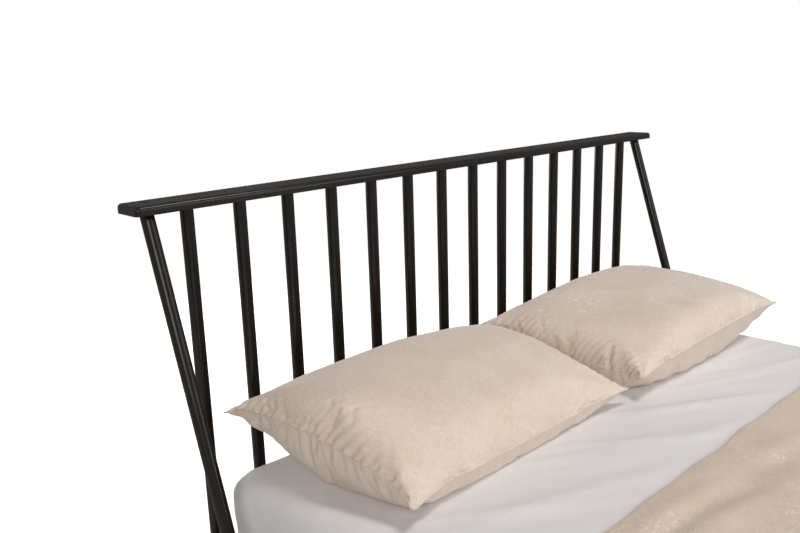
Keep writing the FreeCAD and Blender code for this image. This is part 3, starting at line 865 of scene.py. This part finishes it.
def inflate(points, faces, seam, short_seam):
    """The points of sewn panels swollen by cloth pressure, with the seam drawn tighter than the panels."""
    mesh = bpy.data.meshes.new("sewn_panels")
    mesh.from_pydata(points.tolist(), [], faces.tolist())
    panels = bpy.data.objects.new("sewn_panels", mesh)
    bpy.context.scene.collection.objects.link(panels)
    group = panels.vertex_groups.new(name="seam")
    group.add(seam.tolist(), long_seam_draw, "REPLACE")
    group.add(short_seam.tolist(), short_seam_draw, "REPLACE")
    modifier = panels.modifiers.new("Cloth", "CLOTH")
    cloth = modifier.settings
    cloth.quality = 5
    cloth.mass = 0.3
    cloth.tension_stiffness = 15
    cloth.compression_stiffness = 10
    cloth.shear_stiffness = 5
    cloth.bending_stiffness = 0.3
    cloth.tension_damping = 5
    cloth.compression_damping = 5
    cloth.shear_damping = 5
    cloth.air_damping = 2
    cloth.use_pressure = True
    cloth.uniform_pressure_force = pillow_pressure
    cloth.vertex_group_shrink = "seam"
    cloth.shrink_max = seam_shrink
    cloth.effector_weights.gravity = 0
    modifier.collision_settings.use_collision = False
    modifier.point_cache.frame_start = 1
    modifier.point_cache.frame_end = pillow_frames
    scene = bpy.context.scene
    for step in range(1, pillow_frames + 1):
        scene.frame_set(step)
    swollen = panels.evaluated_get(bpy.context.evaluated_depsgraph_get())
    result = np.empty(len(points) * 3)
    swollen.data.vertices.foreach_get("co", result)
    bpy.data.objects.remove(panels)
    bpy.data.meshes.remove(mesh)
    scene.frame_set(1)
    return result.reshape(-1, 3)


class Pillow:
    """One pillow: where it lies, how its seam runs and how full it is.

    corners are those of its seam: front left, front right, back left, back right. Between them the front,
    back, left and right seams rise and bow outwards in parabolas. crown and belly scale the swell above and
    below the seam, with a power that makes it flatter at the seam if over 1. ears thins the corners, the
    more locally the larger its power. A pinch is a short fold in the upper panel: its middle, bearing,
    length, width and depth."""

    def __init__(self, side, fabric, seed, corners, rise, bow, crown, crown_power, belly, belly_power, ears,
                 ear_power, pinches=()):
        self.side = side
        self.fabric = fabric
        self.seed = seed
        self.corners = np.array(corners)
        self.rise = rise
        self.bow = bow
        self.crown = crown
        self.crown_power = crown_power
        self.belly = belly
        self.belly_power = belly_power
        self.ears = ears
        self.ear_power = ear_power
        self.pinches = pinches

    def place(self, swollen):
        """Carries the swollen panels onto the seam's four corners."""
        corner_x, corner_y = swollen[0, :2]
        u = swollen[:, 0] / abs(corner_x)
        v = swollen[:, 1] / abs(corner_y)
        left, right, front, back = 1 - u, 1 + u, 1 - v, 1 + v
        weights = np.stack([left * front, right * front, left * back, right * back], -1) / 4
        points = weights @ self.corners
        along, across = 1 - u * u, 1 - v * v
        nearness = (along * front, along * back, across * left, across * right)
        outward = ((0, -1), (0, 1), (-1, 0), (1, 0))
        for near, rise, bow, (out_x, out_y) in zip(nearness, self.rise, self.bow, outward):
            points += near[:, None] / 2 * (bow * out_x, bow * out_y, rise)
        front_left, front_right, back_left, back_right = self.corners
        normal = np.cross(front_right + back_right - front_left - back_left,
                          back_left + back_right - front_left - front_right)
        normal /= np.linalg.norm(normal)
        half = np.abs(swollen[:, 2]).max()
        thinning = self.ears * np.abs(u * v) ** self.ear_power
        lower = self.belly * half * (np.maximum(-swollen[:, 2], 0) / half) ** self.belly_power
        upper = self.crown * half * (np.maximum(swollen[:, 2], 0) / half) ** self.crown_power
        points += (upper * (1 - 0.4 * thinning) - lower * (1 - thinning))[:, None] * normal
        return points

    def upper_folds(self, x, y):
        """Puckers along the seams, deepest along the short ones, fans at the corners, and the pinches."""
        left, right = x + pillow_flat[0] / 2, pillow_flat[0] / 2 - x
        front, back = y + pillow_flat[1] / 2, pillow_flat[1] / 2 - y
        height = 0.0040 * puckers(y, left, self.seed, 0.020, 0.060)
        height += 0.0024 * puckers(y, right, self.seed + 10, 0.023, 0.045)
        height *= smooth_step(front, 0, 0.07)
        height += 0.0008 * puckers(x, front, self.seed + 20, 0.030, 0.030)
        height += 0.0008 * puckers(x, back, self.seed + 30, 0.030, 0.030)
        fans = ((left, front, 0.0009), (right, front, 0.0009), (left, back, 0.0022), (right, back, 0.0022))
        for number, (dx, dy, depth) in enumerate(fans):
            height += depth * corner_folds(dx, dy, self.seed + 2 * number)
        for middle, bearing, length, width, depth in self.pinches:
            height -= depth * crease(x, y, middle, bearing, length, width)
            height += 0.45 * depth * crease(x, y, middle, bearing, 1.3 * length, 3 * width)
        return height

    def lower_folds(self, x, y):
        """Slack diagonal folds of the underside, and small puckers along its short seams."""
        edge = np.minimum(pillow_flat[0] / 2 - np.abs(x), pillow_flat[1] / 2 - np.abs(y))
        height = 0.0030 * folds(x, y, self.seed + 50, 62, 0.075) * smooth_step(edge, 0, 0.03)
        height += 0.0010 * puckers(y, pillow_flat[0] / 2 - np.abs(x), self.seed + 60, 0.026, 0.035)
        return height

    def rest(self, points):
        """Flattens the pillow on the bed and against the spindles."""
        floor = bed_top + rest_gap
        points[..., 2] = floor + keep_above(points[..., 2] - floor, contact_softness)
        wall = spindle_front - rest_gap
        points[..., 1] = wall - keep_above(wall - points[..., 1], contact_softness)

    def build(self):
        """The stuffed case, with a brushed upper panel and a plain lower one, and the welt on its seam."""
        points, faces, index, lower_index = sewn_panels(self.seed)
        short_seam = np.concatenate([index[0, :], index[-1, :]])
        placed = self.place(inflate(points, faces, rim_loop(index), short_seam))
        upper, lower = refine(placed[index]), refine(placed[lower_index])
        x, y = panel_places(upper.shape[:2])
        upper += grid_normals(upper) * self.upper_folds(x, y)[..., None]
        lower -= grid_normals(lower) * self.lower_folds(x, y)[..., None]
        self.rest(upper)
        self.rest(lower)
        index, lower_index, inner = sewn_index(x.shape)
        cloth = np.stack([x, y], -1)
        faces = sewn_faces(index, lower_index)
        underside = np.repeat(np.array([0, 1], np.int32), len(faces) // 2)
        body = "pillow_" + self.side
        case = make_piece(body + "_case", sewn_values(upper, lower, inner), faces.tolist(),
                          [self.fabric, pillow_plain], body,
                          sewn_values(cloth, cloth, inner), underside, rim_loop(index))
        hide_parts(body)
        points, faces = tube(rim_loop(upper), welt_radius)
        make_piece(body + "_welt", points, faces.tolist(), [pillow_plain], body,
                   points[:, :2])


# Floor, light and camera

def seen_directly(tree):
    """1 for rays from the camera, gloss and glass, 0 for light that bounces."""
    rays = add(tree, "LightPath").outputs
    seen = math_node(tree, "MAXIMUM", rays["Is Camera Ray"], rays["Is Glossy Ray"])
    return math_node(tree, "MAXIMUM", seen, rays["Is Transmission Ray"])


def build_floor():
    """A wide pale floor, a little brighter to the camera so that it runs into the background."""
    reach = 30.0
    corners = [(-reach, -reach, 0), (reach, -reach, 0), (reach, reach, 0), (-reach, reach, 0)]
    mesh = bpy.data.meshes.new("floor")
    mesh.from_pydata(corners, [], [(0, 1, 2, 3)])
    floor = bpy.data.objects.new("floor", mesh)
    bpy.context.scene.collection.objects.link(floor)
    material = bpy.data.materials.new("pale_floor")
    material.use_nodes = True
    tree = material.node_tree
    tree.nodes.clear()
    lift = times(tree, seen_directly(tree), 0.95)
    diffuse = add(tree, "BsdfDiffuse", {"Color": (0.86, 0.86, 0.86, 1)}).outputs[0]
    glow = add(tree, "Emission", {"Color": (1, 1, 1, 1), "Strength": lift}).outputs[0]
    both = add(tree, "AddShader", {0: diffuse, 1: glow}).outputs[0]
    out = add(tree, "OutputMaterial")
    tree.links.new(both, out.inputs["Surface"])
    mesh.materials.append(material)


def build_world():
    """Soft even light from all round; the camera and reflections see white."""
    world = bpy.data.worlds.new("studio")
    bpy.context.scene.world = world
    world.use_nodes = True
    tree = world.node_tree
    tree.nodes.clear()
    light = add(tree, "Background", {"Color": (1.0, 0.99, 0.98, 1), "Strength": 0.05}).outputs[0]
    white = add(tree, "Background", {"Color": (1, 1, 1, 1), "Strength": 1.0}).outputs[0]
    mixed = add(tree, "MixShader", {0: seen_directly(tree), 1: light, 2: white}).outputs[0]
    out = add(tree, "OutputWorld")
    tree.links.new(mixed, out.inputs["Surface"])


def add_softbox(name, place, target, width, height, power, tone):
    """A rectangular area lamp that faces a point."""
    lamp = bpy.data.lights.new(name, "AREA")
    lamp.shape = "RECTANGLE"
    lamp.size = width
    lamp.size_y = height
    lamp.energy = power
    lamp.color = tone
    box = bpy.data.objects.new(name, lamp)
    box.location = place
    box.rotation_euler = (Vector(place) - Vector(target)).to_track_quat("Z", "Y").to_euler()
    bpy.context.scene.collection.objects.link(box)


def build_camera():
    """A camera at the photograph's place: turned from +Y towards +X, pitched down and rolled a little."""
    level = Vector((math.sin(camera_azimuth), math.cos(camera_azimuth), 0))
    forward = level * math.cos(camera_pitch) - Vector((0, 0, math.sin(camera_pitch)))
    flat_right = forward.cross(Vector((0, 0, 1))).normalized()
    flat_up = flat_right.cross(forward)
    right = flat_right * math.cos(camera_roll) + flat_up * math.sin(camera_roll)
    up = right.cross(forward)
    lens = bpy.data.cameras.new("camera")
    lens.lens = camera_lens
    lens.sensor_width = sensor_width
    lens.sensor_fit = "HORIZONTAL"
    camera = bpy.data.objects.new("camera", lens)
    turn = Matrix((right, up, -forward)).transposed().to_4x4()
    camera.matrix_world = Matrix.Translation(camera_place) @ turn
    bpy.context.scene.collection.objects.link(camera)
    bpy.context.scene.camera = camera


build_mattress()
build_sheet()
build_duvet()
Pillow(
    "left", pillow_brushed, seed=3,
    corners=((-0.650, 0.596, 0.593), (0.069, 0.612, 0.589),
             (-0.730, 1.054, 0.6615), (0.056, 1.051, 0.6515)),
    rise=(-0.0125, 0.0125, 0.0335, 0.0025), bow=(0.014, -0.0105, 0.030, -0.004),
    crown=0.922, crown_power=1.3, belly=1.565, belly_power=0.865, ears=0.75, ear_power=1.2,
).build()
Pillow(
    "right", pillow_worn, seed=4,
    corners=((0.102, 0.596, 0.608), (0.843, 0.590, 0.6265),
             (0.051, 1.0625, 0.6485), (0.805, 1.057, 0.662)),
    rise=(0.022, 0.022, -0.0275, -0.0125), bow=(0.0395, -0.005, 0.022, -0.0065),
    crown=0.876, crown_power=1.1, belly=1.48, belly_power=0.755, ears=0.915, ear_power=1.9,
    pinches=(((-0.352, -0.130), 16, 0.085, 0.006, 0.011),),
).build()
build_floor()
build_world()
warm_light = (1.0, 0.98, 0.945)
cool_light = (0.95, 1.0, 1.04)
add_softbox("overhead", (0.6, 0.0, 3.4), (0.0, 0.2, 0.5), 0.8, 0.8, 36, warm_light)
add_softbox("key", (1.9, -2.5, 2.1), (0.1, 0.6, 0.6), 2.0, 2.0, 47, cool_light)
add_softbox("front", (1.4, -2.4, 0.95), (-0.4, 1.0, 0.9), 1.3, 0.4, 10, cool_light)
add_softbox("side", (3.4, 0.3, 2.0), (0.1, 0.6, 0.6), 2.0, 2.0, 4, cool_light)
add_softbox("fill", (-3.0, -1.8, 2.2), (0.0, 0.6, 0.6), 1.6, 1.6, 78, warm_light)
add_softbox("rim", (-2.4, 2.8, 2.4), (0.0, 0.6, 0.6), 1.4, 1.4, 8, warm_light)
add_softbox("back", (0.0, 4.2, 0.9), (0.0, 1.0, 0.6), 3.0, 0.6, 40, warm_light)
build_camera()
bpy.context.scene.view_settings.view_transform = "Standard"
